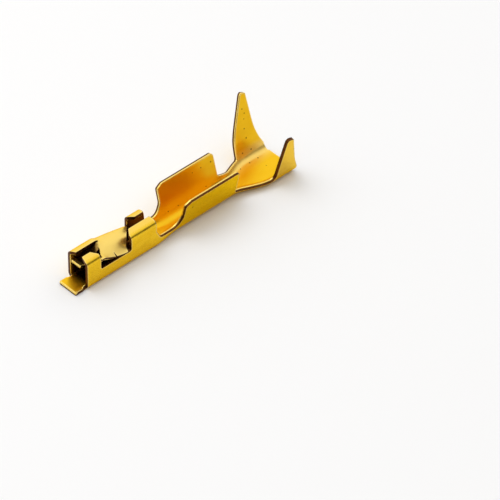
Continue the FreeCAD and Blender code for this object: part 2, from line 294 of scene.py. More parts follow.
# %% The sizes of the leaf, in millimetres
LEAF_FRONT = (0.88, 1.56)
LEAF_START = sum(LEAF_FRONT) / 2
LEAF_FAR_REAR = 3.80
LEAF_NEAR_REAR = 2.84
LEAF_EDGE = -0.775
LEAF_HEIGHTS = (1.76, 1.25)
LEAF_CROWN = 0.04
CROWN_BEND = 0.90
BULGE_RISE = 0.04
BULGE_DROOP = (0.24, 0.30)
SEAM = 1.58
SEAM_BLEND = 0.4
ROW_BLEND = 0.45
REAR_SLIT = 3.86


# %% Fold the roof and the leaf
def leaf_at(x):
    """The leaf's height at the far wall, and how far its free edge hangs below that."""
    share = min(max((x - LEAF_START) / (LEAF_FAR_REAR - LEAF_START), 0), 1)
    bulge = 4 * share * (1 - share)
    return (
        mix(*LEAF_HEIGHTS, share) + BULGE_RISE * bulge,
        BULGE_DROOP[0] + BULGE_DROOP[1] * bulge,
    )


def roof_path(height, crown, droop):
    """The path from the knot up the wall, over the bend and across, with the bend's end."""
    corners = [
        (BOX_HALF, KNOT),
        (BOX_HALF, height, ROOF_BEND),
        (0, height + crown, CROWN_BEND),
        (LEAF_EDGE, height - droop),
    ]
    path = Path(corners)
    bend = [piece[0] for piece in path.pieces].index("arc")
    return path, sum(piece[1] for piece in path.pieces[:bend + 1])


def roof_fold(path, bend_end, v):
    """Where a row above the knot comes to lie."""
    if v <= ROOF_V:
        return path.at((v - KNOT_V) / (ROOF_V - KNOT_V) * bend_end)
    return path.at(bend_end + v - ROOF_V)


BOX_ROOF = roof_path(BOX_HEIGHT, 0.0, 0.0)


def leaf_roof(x):
    """The leaf's path at a place."""
    height, droop = leaf_at(x)
    return roof_path(height, LEAF_CROWN, droop)


print("box roof's path:", round(BOX_ROOF[0].length, 3), "mm")


# %% Find rows on the roof, and mix flap and leaf
def row_at(roof, y):
    """The row of the blank that lies at y on a roof. It is found by halving."""
    low, high = KNOT_V, ROOF_V + 3
    for _ in range(40):
        middle = (low + high) / 2
        if roof_fold(*roof, middle).x > y:
            low = middle
        else:
            high = middle
    return low


RIDGE_X = 1.4
FLAP_FAR_Y = 0.28
FLAP_NEAR_Y = 0.16
WALL_ROW = row_at(BOX_ROOF, BOX_HALF - GAUGE)
LEAF_ROW = row_at(leaf_roof(RIDGE_X), FLAP_FAR_Y)
EDGE_ROW = row_at(leaf_roof(RIDGE_X), -BOX_HALF)


def leaf_share(x, v):
    """How much the leaf's shape counts at a point of the far side, from 0 to 1."""
    rear = 1 - ease((x - LEAF_FAR_REAR) / (REAR_SLIT - LEAF_FAR_REAR))
    front = ease((x - SEAM + SEAM_BLEND / 2) / SEAM_BLEND)
    return min(rear, mix(front, 1.0, ease((v - LEAF_ROW) / ROW_BLEND)))


def roof_surface(x, v, side):
    """Where a row above the knot comes to lie on either side of the box."""
    spot = roof_fold(*BOX_ROOF, v)
    share = leaf_share(x, v) if side > 0 else 0
    return spot.lerp(roof_fold(*leaf_roof(x), v), share) if share else spot


print("the leaf's free edge is row", round(row_at(leaf_roof(2), LEAF_EDGE), 3))

# %% [markdown]
# The contact beam grows out of the leaf's slanting front edge. It bends down into the box,
# touches the post at its belly and turns up again at its tip, so that a post can't catch on it.
# On the blank it is a tongue in front of the leaf, and here it is folded as one: a path gives its
# height, and its width spreads once it has passed below the far flap. A separate bar would be
# easier to place, but it would have to be joined to the leaf afterwards.

# %% Fold the beam
BEAM_ROOT_Y = (0.22, -0.22)
BEAM_ROWS = [row_at(leaf_roof(RIDGE_X), y) for y in BEAM_ROOT_Y]
BEAM_Y = (0.53, -0.18)
BEAM_GAUGE = 0.16
BEAM_TIP = (0.03, 1.31)
BEAM_BELLY = (0.66, 1.06)
BEAM_BEND = 0.30
BEAM_NECK = 0.25
BEAM_SPREAD = 0.5


def ridge_at(v):
    """Where the leaf's front edge crosses a row of the blank."""
    share = (v - LEAF_ROW) / (EDGE_ROW - LEAF_ROW)
    return mix(LEAF_FRONT[1], LEAF_FRONT[0], share)


def beam_fold(x, v):
    """Where a point of the tongue in front of the leaf comes to lie."""
    ridge = ridge_at(v)
    root = roof_surface(ridge, v, 1)
    slope = math.atan2(root.y - BEAM_BELLY[1], ridge - BEAM_BELLY[0])
    fold = ridge - BEAM_BEND * math.tan(slope / 2)
    corners = [(ridge, root.y), (fold, root.y, BEAM_BEND), (*BEAM_BELLY, BEAM_BEND), BEAM_TIP]
    path = Path(corners)
    ahead = ridge - x
    spot = path.at(ahead * path.length / (ridge - BEAM_TIP[0]))
    across = (v - BEAM_ROWS[0]) / (BEAM_ROWS[1] - BEAM_ROWS[0])
    spread = ease((ahead - BEAM_NECK) / BEAM_SPREAD)
    return Vector((spot.x, mix(root.x, mix(*BEAM_Y, across), spread), spot.y))


print("beam tip at", [round(c, 2) for c in beam_fold(BEAM_TIP[0], BEAM_ROWS[1])])

# %% [markdown]
# Now one function folds any point of the blank, near side or far side. Where the far flap runs
# into the leaf the two shapes are mixed over less than half a millimetre. The lip in front of the
# mouth is rolled flat again. Another function then says which way the sheet faces at a point,
# since its thickness is measured along that direction.

# %% Fold the whole blank
CURL = 0.25
FOLD_OVERLAP = 0.01
ROW_SLACK = 0.03


def fold(x, v):
    """The point on the folded sheet's outside, in millimetres."""
    side = 1 if v >= 0 else -1
    row = abs(v)
    if row > KNOT_V and x < BOX_LENGTH + FOLD_OVERLAP:
        if side > 0 and row > LEAF_ROW and x < ridge_at(row):
            return beam_fold(x, row)
        spot = roof_surface(x, row, side)
    else:
        spot = trough_fold(x, row)
    if x < 0:
        level = BOX_TROUGH[0] / 2 * min(row / FLOOR_V, 1)
        level += max(row - FLOOR_V, 0) / (BEND_V - FLOOR_V) * FLOOR_BEND * math.pi / 2
        spot = Vector((level, 0)).lerp(spot, ease(1 + x / CURL))
    return Vector((x, side * spot.x, spot.y))


def slopes(x, v):
    """The sheet's two directions at a point, and its outward normal."""
    step = 0.004
    along = (fold(x + step, v) - fold(x - step, v)) / (2 * step)
    across = (fold(x, v + step) - fold(x, v - step)) / (2 * step)
    return along, across, across.cross(along).normalized()


def past_leaf(v):
    """Whether a row is on the leaf or the beam, clear of the far flap's edge."""
    return v >= LEAF_ROW + ROW_SLACK


def gauge_at(x, v):
    """How thick the sheet is: the beam is coined thinner than the strip."""
    if not past_leaf(v) or x > ridge_at(v):
        return GAUGE
    return mix(GAUGE, BEAM_GAUGE, ease((ridge_at(v) - x) / 0.3))


print("gauge of the floor", gauge_at(2, 0), "and of the beam", round(gauge_at(0.5, 4), 3))

# %% [markdown]
# Such thin sheet is easily marked, so the sides carry a few shallow dents from handling, and the
# far wing has a soft crease at its waist. Each is a small bell-shaped hollow or swelling in the
# sheet. The normal is turned with it, because on polished metal it is the turned reflection that
# shows a dent, much more than its depth. A bump in the shader would show too, but the mesh on its
# own would be flawless.

# %% Dent the sheet
# x, row, reach along, reach across, depth
DENTS = (
    (3.45, -1.95, 0.30, 0.20, 0.016),
    (4.05, -1.75, 0.26, 0.20, -0.012),
    (3.70, -1.45, 0.34, 0.18, 0.012),
    (4.45, -2.05, 0.20, 0.20, 0.012),
    (0.45, -1.85, 0.20, 0.20, 0.012),
    (0.70, -1.40, 0.20, 0.20, -0.010),
    (2.10, -1.45, 0.40, 0.20, 0.008),
    (7.60, -2.30, 0.50, 0.40, 0.012),
    (8.60, -1.80, 0.45, 0.35, -0.012),
    (9.60, -2.20, 0.40, 0.40, 0.010),
    (12.7, 2.15, 0.60, 0.35, 0.030),
)


def push_at(x, v):
    """How far the dents push the sheet in at a point."""
    return sum(
        depth * math.exp(-((x - dx) / wide) ** 2 - ((v - dv) / high) ** 2)
        for dx, dv, wide, high, depth in DENTS
    )


def dented(x, v):
    """The point on the dented sheet's outside, and its normal."""
    along, across, normal = slopes(x, v)
    step = 0.01
    tip_x = (push_at(x + step, v) - push_at(x - step, v)) / (2 * step * along.length)
    tip_v = (push_at(x, v + step) - push_at(x, v - step)) / (2 * step * across.length)
    turned = normal + along.normalized() * tip_x + across.normalized() * tip_v
    return fold(x, v) - normal * push_at(x, v), turned.normalized()


for place, spot in (("floor", (2, 0.1)), ("wall", (2, 1.5))):
    print(place, "normal", [round(c, 2) for c in dented(*spot)[1]])

# %% [markdown]
# The outline of the blank is drawn once for each side, from the lip to the cable end. The box's
# part is given in rows of the blank. The rims of the barrels are easier to read in side view, so
# they are drawn as heights and then looked up. Nearly every corner gets a small radius, as a
# punch leaves one.

# %% The outline of the box's sides
STEP = 0.09
LIP_ROW = 0.793
SILL_ROW = BEND_V + 0.92 - FLOOR_BEND
FLAP_LEAD = 0.14
BOX_END_HEIGHT = 1.50
NEAR_WINDOW = (0.95, 3.0)
WINDOW_MIDDLE = 2.0


def box_side(flap_y, front, rear, middle):
    """One side's outline from the lip to the box's end. Its middle part is handed in."""
    flap = row_at(BOX_ROOF, flap_y)
    start = [
        (LIP_END, 0.0),
        (LIP_END, LIP_ROW, 0.06),
        (0, LIP_ROW, 0.05),
        (0, WALL_ROW, 0.12),
        (FLAP_LEAD, flap, 0.06),
    ]
    end = [
        (rear, WALL_ROW, 0.08),
        (rear + 0.30, flap, 0.12),
        (BOX_LENGTH, flap, 0.05),
        (BOX_LENGTH, rim_row(BOX_LENGTH, BOX_END_HEIGHT)),
    ]
    return Path(start + front).points(STEP)[:-1] + middle + Path(end).points(STEP)[:-1]


def near_box():
    """The near side: a flap, an open window with its sill, and another flap."""
    first, last = NEAR_WINDOW
    top = (last, WALL_ROW - 0.05)
    front = [
        (0.70, row_at(BOX_ROOF, FLAP_NEAR_Y), 0.06),
        (first, WALL_ROW, 0.04),
        (first, SILL_ROW, 0.1),
        (WINDOW_MIDDLE, SILL_ROW),
    ]
    window = Path([(WINDOW_MIDDLE, SILL_ROW), (last, SILL_ROW, 0.1), top]).points(STEP)
    return box_side(FLAP_NEAR_Y, front, last, window[:-1] + [Vector(top)])


print("near side of the box:", len(near_box()), "points")


# %% The outline of the leaf and the beam
def leaf_outline():
    """The far side's middle: beam, slanting front, free edge with its nick, rear edge, slit."""
    far_row, near_row = BEAM_ROWS
    tongue = Path([
        (SEAM + 0.02, row_at(BOX_ROOF, FLAP_FAR_Y) + 0.02),
        (SEAM + 0.02, far_row, 0.02),
        (BEAM_TIP[0], far_row, 0.06),
        (BEAM_TIP[0], near_row, 0.06),
        (ridge_at(near_row), near_row),
    ])
    top_view = Path([
        (ridge_at(near_row), BEAM_ROOT_Y[1]),
        (LEAF_FRONT[0], LEAF_EDGE, 0.08),
        (1.944, LEAF_EDGE, 0.03),
        (1.965, -0.56),
        (2.004, LEAF_EDGE, 0.03),
        (2.785, LEAF_EDGE, 0.08),
        (LEAF_NEAR_REAR, -0.53, 0.22),
        (LEAF_FAR_REAR - 0.02, 0.45),
    ])
    edge = [Vector((p.x, row_at(leaf_roof(p.x), p.y))) for p in top_view.points(STEP)]
    slit = Path([
        edge[-1],
        (LEAF_FAR_REAR, edge[-1].y - 0.05, 0.02),
        (LEAF_FAR_REAR, 1.80, 0.028),
        (REAR_SLIT, 1.80, 0.028),
        (REAR_SLIT, WALL_ROW - 0.05),
    ])
    return tongue.points(STEP)[:-1] + edge[:-1] + slit.points(STEP)


def far_box():
    """The far side: a flap that runs into the leaf, and the rear flap."""
    flap = row_at(BOX_ROOF, FLAP_FAR_Y)
    front = [(SEAM + 0.02, flap, 0.01), (SEAM + 0.02, flap + 0.02)]
    return box_side(FLAP_FAR_Y, front, REAR_SLIT, leaf_outline())


print("far side of the box:", len(far_box()), "points")

# %% [markdown]
# Behind the box come the arched cut-out, the wire wing with its chamfered front corner, the low
# rim of the neck and the tall tapered insulation wing. The two insulation wings differ in height
# and lean, so that they lap past each other when they are crimped. Their waists are long arcs,
# which spread the bending. All that differs between the two sides stands in one table, so that
# one function can draw both.

# %% The sizes of the barrels' rims, in millimetres
WINGS = {
    "near": {
        "tail": [
            (BOX_LENGTH, BOX_END_HEIGHT),
            (BOX_LENGTH, 1.10, 0.04),
            (BOX_LENGTH + 0.06, 1.02, 0.05),
        ],
        "arch": 0.26, "front": 0.10, "rim": (0.52, 0.36), "start": 2.44, "foot": 0.35,
        "lead": 0.02, "sweep": 0.08, "height": 3.44, "tip": 0.46, "waist": 0.40,
    },
    "far": {
        "tail": [
            (BOX_LENGTH, BOX_END_HEIGHT),
            (BOX_LENGTH + 0.26, 1.42, 0.08),
            (BOX_LENGTH + 0.32, 0.90, 0.12),
        ],
        "arch": 0.44, "front": -0.08, "rim": (0.74, 0.40), "start": 1.92, "foot": 0.12,
        "lead": 0.04, "sweep": 1.02, "height": 3.84, "tip": 0.40, "waist": 0.46,
    },
}
WIRE_HEIGHT = 2.17
WAIST_HEIGHT = 1.40
TIP_ROUND = 0.12
TAB_HALF_ROW = 0.63
TAB_LENGTH = 0.07
print("wings:", {side: wing["height"] for side, wing in WINGS.items()})


# %% The outline of the barrels' rims
def barrel_side(wing):
    """One side's rim from the box's end to the cut-off tab."""
    front = SHOULDER_END + wing["front"]
    start = WIRE_END + wing["start"]
    tip = start + wing["sweep"]
    height = wing["height"]
    rim = Path(wing["tail"] + [
        (BOX_LENGTH + wing["arch"], 0.60, 0.22),
        (front - 0.34, 0.62, 0.55),
        (front, 1.12, 0.40),
        (front, 1.98, 0.14),
        (front + 0.36, WIRE_HEIGHT, 0.18),
        (WIRE_END + 0.06, WIRE_HEIGHT, 0.22),
        (WIRE_END + 0.10, wing["rim"][0], 0.14),
        (WIRE_END + 0.90, wing["rim"][1], 0.80),
        (start, wing["rim"][1], wing["foot"]),
        (start + wing["lead"], WAIST_HEIGHT, 1.40),
        (tip, height - TIP_ROUND, 0.10),
        (tip + wing["tip"] * 0.3, height, 0.10),
        (tip + wing["tip"], height - TIP_ROUND, 0.10),
        (BARREL_END - wing["waist"], WAIST_HEIGHT, 3.60),
        (BARREL_END - 0.02, 0.52, 0.05),
        (BARREL_END, 0.30),
    ])
    rows = [Vector((p.x, rim_row(p.x, p.y))) for p in rim.points(STEP)]
    tab = Path([
        rows[-1],
        (BARREL_END, TAB_HALF_ROW, 0.02),
        (BARREL_END + TAB_LENGTH, TAB_HALF_ROW, 0.05),
        (BARREL_END + TAB_LENGTH, 0),
    ])
    return rows[:-1] + tab.points(STEP)


def whole_outline(closest=0.004):
    """The blank's outline, once round, near side first, without points that all but meet."""
    near = near_box() + barrel_side(WINGS["near"])
    far = far_box() + barrel_side(WINGS["far"])
    loop = [Vector((p.x, -p.y)) for p in near] + [Vector(p) for p in reversed(far)]
    kept = []
    for p in loop:
        if not kept or (p - kept[-1]).length > closest:
            kept.append(p)
    if (kept[0] - kept[-1]).length < closest:
        kept.pop()
    return kept


outline = whole_outline()
print("outline:", len(outline), "points")

# %% [markdown]
# A press leaves a sheared edge in bands. Where the punch enters, on what becomes the inside, the
# metal is drawn over into a small round and then sliced smooth and bright. Further down it tears,
# which leaves a dull band, a little ragged and set back, and a fine burr at the outside. The
# wider the gap between punch and die, the more of the edge is torn, and here it differs from
# place to place. The edge is built as rings round the outline, one for each of these lines. A
# bevel would make all edges alike.

# %% The ways out of the sheet along its edge
def edge_frames(loop):
    """For each outline point: the way into the sheet on the blank, and the way out in space."""
    found = []
    for i, p in enumerate(loop):
        before, after = loop[i - 1], loop[(i + 1) % len(loop)]
        along, across, normal = slopes(p.x, p.y)
        run = after - before
        tangent = (along * run.x + across * run.y).normalized()
        out = normal.cross(tangent).normalized()
        inward = Vector((-run.y, run.x)).normalized()
        step = along * inward.x + across * inward.y
        if step.dot(out) > 0:
            out = -out
        shear = along.dot(across)
        grid = np.array([[along.dot(along), shear], [shear, across.dot(across)]])
        want = np.array([along.dot(-out), across.dot(-out)])
        dx, dv = np.linalg.solve(grid, want)
        found.append((Vector((float(dx), float(dv))), out))
    return found


frames = edge_frames(outline)
print("the way out at the lip:", [round(c, 2) for c in frames[0][1]])

# %% The rings of the sheared edge
ROLL_RADIUS = 0.035
BURR_RADIUS = 0.018
TEAR_SHARES = {"lip": 0.40, "leaf": 0.50, "box": 0.80, "barrels": 0.55, "near wing": 0.90}
TEAR_SETBACK = 0.012
TEAR_STEP = 0.01
OUTER, TORN, SLICED, INNER = range(4)


def tear_at(x, v):
    """How much of the thickness tore at a place."""
    if x < BOX_LENGTH:
        return TEAR_SHARES["lip" if x < -0.6 else "leaf" if v > 4 else "box"]
    return TEAR_SHARES["near wing" if v < 0 and x > NECK_END else "barrels"]


def is_tip(x, v):
    """Whether a point is on the beam's tip, coined smooth so that no post catches on it."""
    return x < 0.3 and past_leaf(v)


def ring_profile():
    """The rings as (inset, depth share, depth in mm, lean of the normal, band), outside first."""
    rings = []
    for turn in (0, math.pi / 4, math.pi / 2):
        inset = BURR_RADIUS * (1 - math.sin(turn))
        rings.append((inset, 0, BURR_RADIUS * (1 - math.cos(turn)), turn, TORN))
    rings.append((TEAR_SETBACK, None, 0, math.pi / 2, TORN))
    rings.append((0, None, TEAR_STEP, math.pi / 2, SLICED))
    for turn in (0, math.pi / 6, math.pi / 3, math.pi / 2):
        inset = ROLL_RADIUS * (1 - math.cos(turn))
        depth = -ROLL_RADIUS * (1 - math.sin(turn))
        rings.append((inset, 1, depth, math.pi / 2 + turn, SLICED))
    return rings


print("rings:", len(ring_profile()))

# %% [markdown]
# The two faces of the sheet are filled with triangles between the rings. Rows of points are laid
# out first, close together across the bends and wider on the flats, and only those well inside
# the ring are kept. A constrained Delaunay fill then joins them up without slivers along the
# edge. A grid of squares cut off at the outline would be neater inside but ragged at the rim.

# %% Lay out the rows of mesh points
FLOOR_STEP = 0.17
WALL_STEP = 0.12
ROOF_STEP = 0.10
ALONG_STEP = 0.12
BEND_ROWS = 9
LAST_ROW = 5.4
FIRST_PLACE = -0.66
EDGE_CLEARANCE = 0.055


def row_values():
    """The rows of mesh points across the blank, for one side."""
    rows = list(np.arange(0.0, FLOOR_V, FLOOR_STEP))
    rows += list(np.linspace(FLOOR_V, BEND_V, BEND_ROWS))
    rows += list(np.arange(BEND_V + WALL_STEP, KNOT_V + 0.5, WALL_STEP))
    rows += list(np.linspace(KNOT_V + 0.58, ROOF_V, BEND_ROWS))
    rows += list(np.arange(ROOF_V + 0.09, LAST_ROW, ROOF_STEP))
    return rows


print("rows:", len(row_values()))


# %% Fill the faces
def inside(points, ring):
    """Which points lie within a closed ring."""
    found = np.zeros(len(points), bool)
    px, py = points[:, 0], points[:, 1]
    for i in range(len(ring)):
        (ax, ay), (bx, by) = ring[i - 1], ring[i]
        crosses = (ay > py) != (by > py)
        if crosses.any():
            at = (bx - ax) * (py - ay) / (by - ay + 1e-12) + ax
            found ^= crosses & (px < at)
    return found


def clear_of(points, ring, gap):
    """Which points keep a gap to every point of a ring."""
    nearest = np.full(len(points), np.inf)
    for spot in ring:
        away = np.hypot(points[:, 0] - spot[0], points[:, 1] - spot[1])
        nearest = np.minimum(nearest, away)
    return nearest > gap


def grid_points(ring):
    """Mesh points inside a ring."""
    rows = row_values()
    rows = [-r for r in reversed(rows[1:])] + rows
    places = np.arange(FIRST_PLACE, BARREL_END + TAB_LENGTH, ALONG_STEP)
    points = np.array([(x, v) for x in places for v in rows])
    points = points[inside(points, ring)]
    return points[clear_of(points, ring, EDGE_CLEARANCE)]


def filled(ring):
    """The points and triangles that fill a ring, and where the ring's own points went."""
    dots = [Vector(p) for p in ring] + [Vector(p) for p in grid_points(ring)]
    border = [list(range(len(ring)))]
    verts, _, triangles, sources, _, _ = delaunay_2d_cdt(dots, [], border, 1, 1e-7)
    place = {}
    for new, old in enumerate(sources):
        for index in old:
            place[index] = new
    return verts, triangles, [place[i] for i in range(len(ring))]


print("points inside the outline:", len(grid_points([tuple(p) for p in outline])))

# %% [markdown]
# Two painted effects change over the sheet. The inside of the box and the beam's root are painted
# dark: painted shade, where little light gets into the box. The leaf, the roofs, the near wing
# and
# some bends are painted paler: a painted highlight, and there the sheet is also made a little
# rougher. The blank's own coordinates say where a point is, so both are worked out here, and kept
# on the mesh as values that the shader reads, together with the distance to the nearest cut edge.
# Painting them on a picture would need an unwrapped mesh first.

# %% Say where shade is painted
# Painted shade: how dark the inside of the box, the beam's root and the roofs' inside are
# painted, and where it ends.
BEAM_SHADE = 0.85
BOX_SHADE = 0.97
SHADE_ENDS = (4.70, 5.05)
ROOF_SHADE = 0.4


def painted_shade_at(x, v, share):
    """How much painted shade darkens the sheet at a point, from 0 to 1. The share is 0 outside
    and 1 inside.
    """
    if share < 0.5:
        root = ease((ridge_at(v) - x + 0.05) / 0.1)
        return BEAM_SHADE * past_leaf(v) * (x > 0.3) * root
    end = mix(*SHADE_ENDS, ease((v - 1.4) / 0.4))
    roof = mix(1.0, ROOF_SHADE, ease((abs(v) - 2.5) / 0.3))
    return BOX_SHADE * roof * ease((x + 0.03) / 0.35) * (1 - ease((x - end) / 0.25))


print("stain at the mouth", round(painted_shade_at(0, 0, 1), 2), "and in the box", painted_shade_at(2, 0, 1))

# %% Say where the highlight is painted
# How strong the painted highlight is; the same value makes the faces a little rougher.
WING_HIGHLIGHT_SATIN = 0.5
ROOF_HIGHLIGHT_SATIN = 0.6
HIGHLIGHT_SATIN_ROW = 0.95


def highlight_satin_at(x, v, share):
    """How much painted highlight the sheet has, which also roughens it: the far inner bend, the
    near wing, the roofs and the leaf.
    """
    if x > WIRE_END and share > 0.5:
        bend = 1 - ease((abs(v - HIGHLIGHT_SATIN_ROW) - 0.25) / 0.5)
        return ease((x - WIRE_END - 0.4) / 1.4) * bend
    if x > NECK_END:
        return WING_HIGHLIGHT_SATIN * ease((-v - 1.0) / 0.5) * (share < 0.5)
    leaf = ease((x - 1.0) / 0.4) * (0 < v and x < REAR_SLIT - 0.03)
    roof = ease((abs(v) - ROOF_V + 0.25) / 0.3) * (x < BOX_LENGTH)
    return roof * mix(ROOF_HIGHLIGHT_SATIN, 1.0, leaf)


print("satin on the leaf", highlight_satin_at(2, 3.5, 0), "and on a roof", highlight_satin_at(4.2, -3.2, 0))

# %% [markdown]
# Now the sheet is put together: the rings along its edge first, and then its two faces. Each
# point is folded, dented and set to its depth in the sheet. Its normal is worked out exactly from
# the fold, since normals averaged from the triangles would ripple in such a mirror-like metal.
# A Solidify modifier could give the thickness, but not the bands of the edge.

# %% Collect the sheet's points and faces
spots, normals, marks = [], [], []
faces, kinds = [], []


def add(x, v, share, depth, lean, out):
    """Adds one point, a depth below the outside, and returns its number."""
    point, normal = dented(x, v)
    point -= normal * (share * gauge_at(x, v) + depth)
    shade = normal * math.cos(lean) + out * math.sin(lean)
    spots.append(point * MM)
    normals.append(shade.normalized())
    marks.append((x, v, share))
    return len(spots) - 1


def add_rings():
    """Adds the points of the edge's rings, and returns the rings with their bands."""
    rings, bands = [], []
    ragged = random.Random(7)
    for inset, share, depth, lean, band in ring_profile():
        loop = []
        for p, (way, out) in zip(outline, frames):
            back = inset * (ragged.uniform(0.4, 1.2) if inset == TEAR_SETBACK else 1)
            part = tear_at(p.x, p.y) if share is None else share
            loop.append(add(p.x + way.x * back, p.y + way.y * back, part, depth, lean, out))
        rings.append(loop)
        bands.append(band)
    return rings, bands


def add_bands(rings, bands):
    """Adds the faces between neighbouring rings."""
    count = len(outline)
    for k in range(len(rings) - 1):
        for i in range(count):
            after = (i + 1) % count
            corners = (rings[k][after], rings[k + 1][after], rings[k + 1][i], rings[k][i])
            faces.append(corners)
            kinds.append(SLICED if is_tip(*outline[i]) else bands[k])


def add_face(ring, share):
    """Fills one face of the sheet: the outside for a share of 0, the inside for 1."""
    border = [(marks[i][0], marks[i][1]) for i in ring]
    verts, triangles, border_place = filled(border)
    number = {place: ring[i] for i, place in enumerate(border_place)}
    for i, vert in enumerate(verts):
        if i not in number:
            number[i] = add(vert.x, vert.y, share, 0, math.pi * share, Vector())
    for triangle in triangles:
        corners = [number[i] for i in triangle]
        faces.append(tuple(corners) if share else tuple(reversed(corners)))
        kinds.append(INNER if share else OUTER)


rings, bands = add_rings()
add_bands(rings, bands)
add_face(rings[0], 0)
add_face(rings[-1], 1)
print("collected:", len(spots), "points", len(faces), "faces")


# %% Make the mesh
def sheet_mesh(name):
    """The folded sheet as one closed mesh that carries its painted shade, its painted highlight
    and its exact normals.
    """
    made = bpy.data.meshes.new(name)
    made.from_pydata(spots, [], faces)
    made.polygons.foreach_set("material_index", kinds)
    made.shade_smooth()
    border = np.array([(p.x, p.y) for p in outline])
    # These values carry the painted shade and the painted highlight, which also roughens the
    # sheet a little.
    values = {
        "edge_gap": [float(np.hypot(*(border - mark[:2]).T).min()) for mark in marks],
        "painted_shade": [painted_shade_at(*mark) for mark in marks],
        "highlight_satin": [highlight_satin_at(*mark) for mark in marks],
    }
    for label, found in values.items():
        made.attributes.new(label, "FLOAT", "POINT").data.foreach_set("value", found)
    blank = made.attributes.new("blank", "FLOAT_VECTOR", "POINT")
    blank.data.foreach_set("vector", [c for mark in marks for c in mark])
    made.validate()
    made.update()
    made.normals_split_custom_set_from_vertices(normals)
    return made


contact = bpy.data.objects.new("gold_contact", sheet_mesh("contact_sheet"))
bpy.context.scene.collection.objects.link(contact)
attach(contact, "root")
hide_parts("crimp_contact")
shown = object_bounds()
print("visual box, mm:", [[round(c * 1000, 2) for c in corner] for corner in shown])

# %% [markdown]
# The plating is metal, so nearly all its colour comes from what it reflects. One gold colour
# serves the whole sheet, and the rest is done by how smooth each face is, by painted shade inside
# the box and by a painted highlight on the upper faces. The strip was rolled, so it has a fine
# grain along its length, and folding leaves it faintly uneven. A picture of gold would look right
# from one side only, while a shader answers to any light. These helpers keep each finish short.

# %% Helpers for the shaders
def set_up(name):
    """A new material with its nodes and its main shader."""
    material = bpy.data.materials.new(name)
    material.use_nodes = True
    tree = material.node_tree
    return material, tree, tree.nodes["Principled BSDF"]


def node(tree, kind, **values):
    """A new node with some of its inputs or settings filled in."""
    made = tree.nodes.new(kind)
    for name, value in values.items():
        if name in made.inputs:
            made.inputs[name].default_value = value
        else:
            setattr(made, name, value)
    return made


def attribute(tree, name):
    """A value or vector that the mesh carries."""
    return node(tree, "ShaderNodeAttribute", attribute_name=name).outputs


def patches(tree, size, stretch, detail):
    """A noise over the object, with patches of a size in millimetres, drawn out along axes."""
    place = node(tree, "ShaderNodeTexCoord")
    mapping = node(tree, "ShaderNodeMapping")
    mapping.inputs["Scale"].default_value = [1 / (size * MM * s) for s in stretch]
    noise = node(tree, "ShaderNodeTexNoise", Scale=1.0, Detail=detail)
    tree.links.new(place.outputs["Object"], mapping.inputs["Vector"])
    tree.links.new(mapping.outputs["Vector"], noise.inputs["Vector"])
    return noise.outputs["Fac"]


print("shader helpers ready")


# %% Helpers that join values, colours and bumps
def ramp(tree, source, low, high, start, end):
    """A value that goes from start to end while the source goes from low to high."""
    made = node(tree, "ShaderNodeMapRange")
    limits = {"From Min": low, "From Max": high, "To Min": start, "To Max": end}
    for name, value in limits.items():
        made.inputs[name].default_value = value
    tree.links.new(source, made.inputs["Value"])
    return made.outputs["Result"]


def math_of(tree, operation, first, second):
    """The sum, the larger, or another reckoning of two values."""
    made = node(tree, "ShaderNodeMath", operation=operation)
    tree.links.new(first, made.inputs[0])
    tree.links.new(second, made.inputs[1])
    return made.outputs[0]


def tint(tree, share, first, second):
    """A colour between two. Each is a constant or comes from another node."""
    made = node(tree, "ShaderNodeMix", data_type="RGBA")
    tree.links.new(share, made.inputs["Factor"])
    for socket, colour in (("A_Color", first), ("B_Color", second)):
        end = next(s for s in made.inputs if s.identifier == socket)
        if isinstance(colour, tuple):
            end.default_value = (*colour, 1)
        else:
            tree.links.new(colour, end)
    return next(s for s in made.outputs if s.identifier == "Result_Color")


def bumps(tree, shader, *layers):
    """Stacks bumps given as (height source, depth in millimetres) on a shader."""
    last = None
    for height, depth in layers:
        made = node(tree, "ShaderNodeBump", Strength=1.0, Distance=depth * MM)
        tree.links.new(height, made.inputs["Height"])
        if last:
            tree.links.new(last, made.inputs["Normal"])
        last = made.outputs["Normal"]
    tree.links.new(last, shader.inputs["Normal"])


print("joining helpers ready")

# %% [markdown]
# The plating has small dark specks, pores where the alloy below has tarnished. There are only a
# few, so each is given its place on the blank, and the shader darkens what lies within its
# radius. A fine noise could scatter them, but then none would be where the real ones are.

# %% The colours and the specks
GOLD = (0.88, 0.56, 0.028)
DULL_GOLD = (0.84, 0.51, 0.022)
# The inside's deeper golds are painted shade, standing for light bounced from gold to gold.
INNER_GOLD = (0.89, 0.53, 0.018)
DEEP_GOLD = (0.85, 0.48, 0.012)
PALE_GOLD = (0.99, 0.79, 0.30)
# Near black: the colour of the pores in the plating, and of the painted shade inside the box.
SPECK_AND_SHADE = (0.06, 0.016, 0.005)
# x, row, radius
INNER_SPECKS = [
    (10.0, 2.4, 0.06), (9.3, 2.4, 0.05), (8.7, 2.4, 0.04), (9.4, 1.2, 0.04),
    (8.9, 1.0, 0.06), (7.4, 1.1, 0.04), (6.7, 1.1, 0.04),
    (13.1, 3.8, 0.05), (13.2, 3.5, 0.05), (13.1, 3.2, 0.04), (13.0, 2.65, 0.05),
    (13.0, 2.1, 0.06), (13.2, 1.3, 0.06), (12.6, 1.35, 0.06), (13.3, 0.5, 0.05),
    (12.7, 0.5, 0.05), (12.0, 0.55, 0.05), (13.2, 0.0, 0.03),
]
OUTER_SPECKS = [(13.4, -3.2, 0.05), (13.6, -2.65, 0.05), (7.0, -2.3, 0.07)]


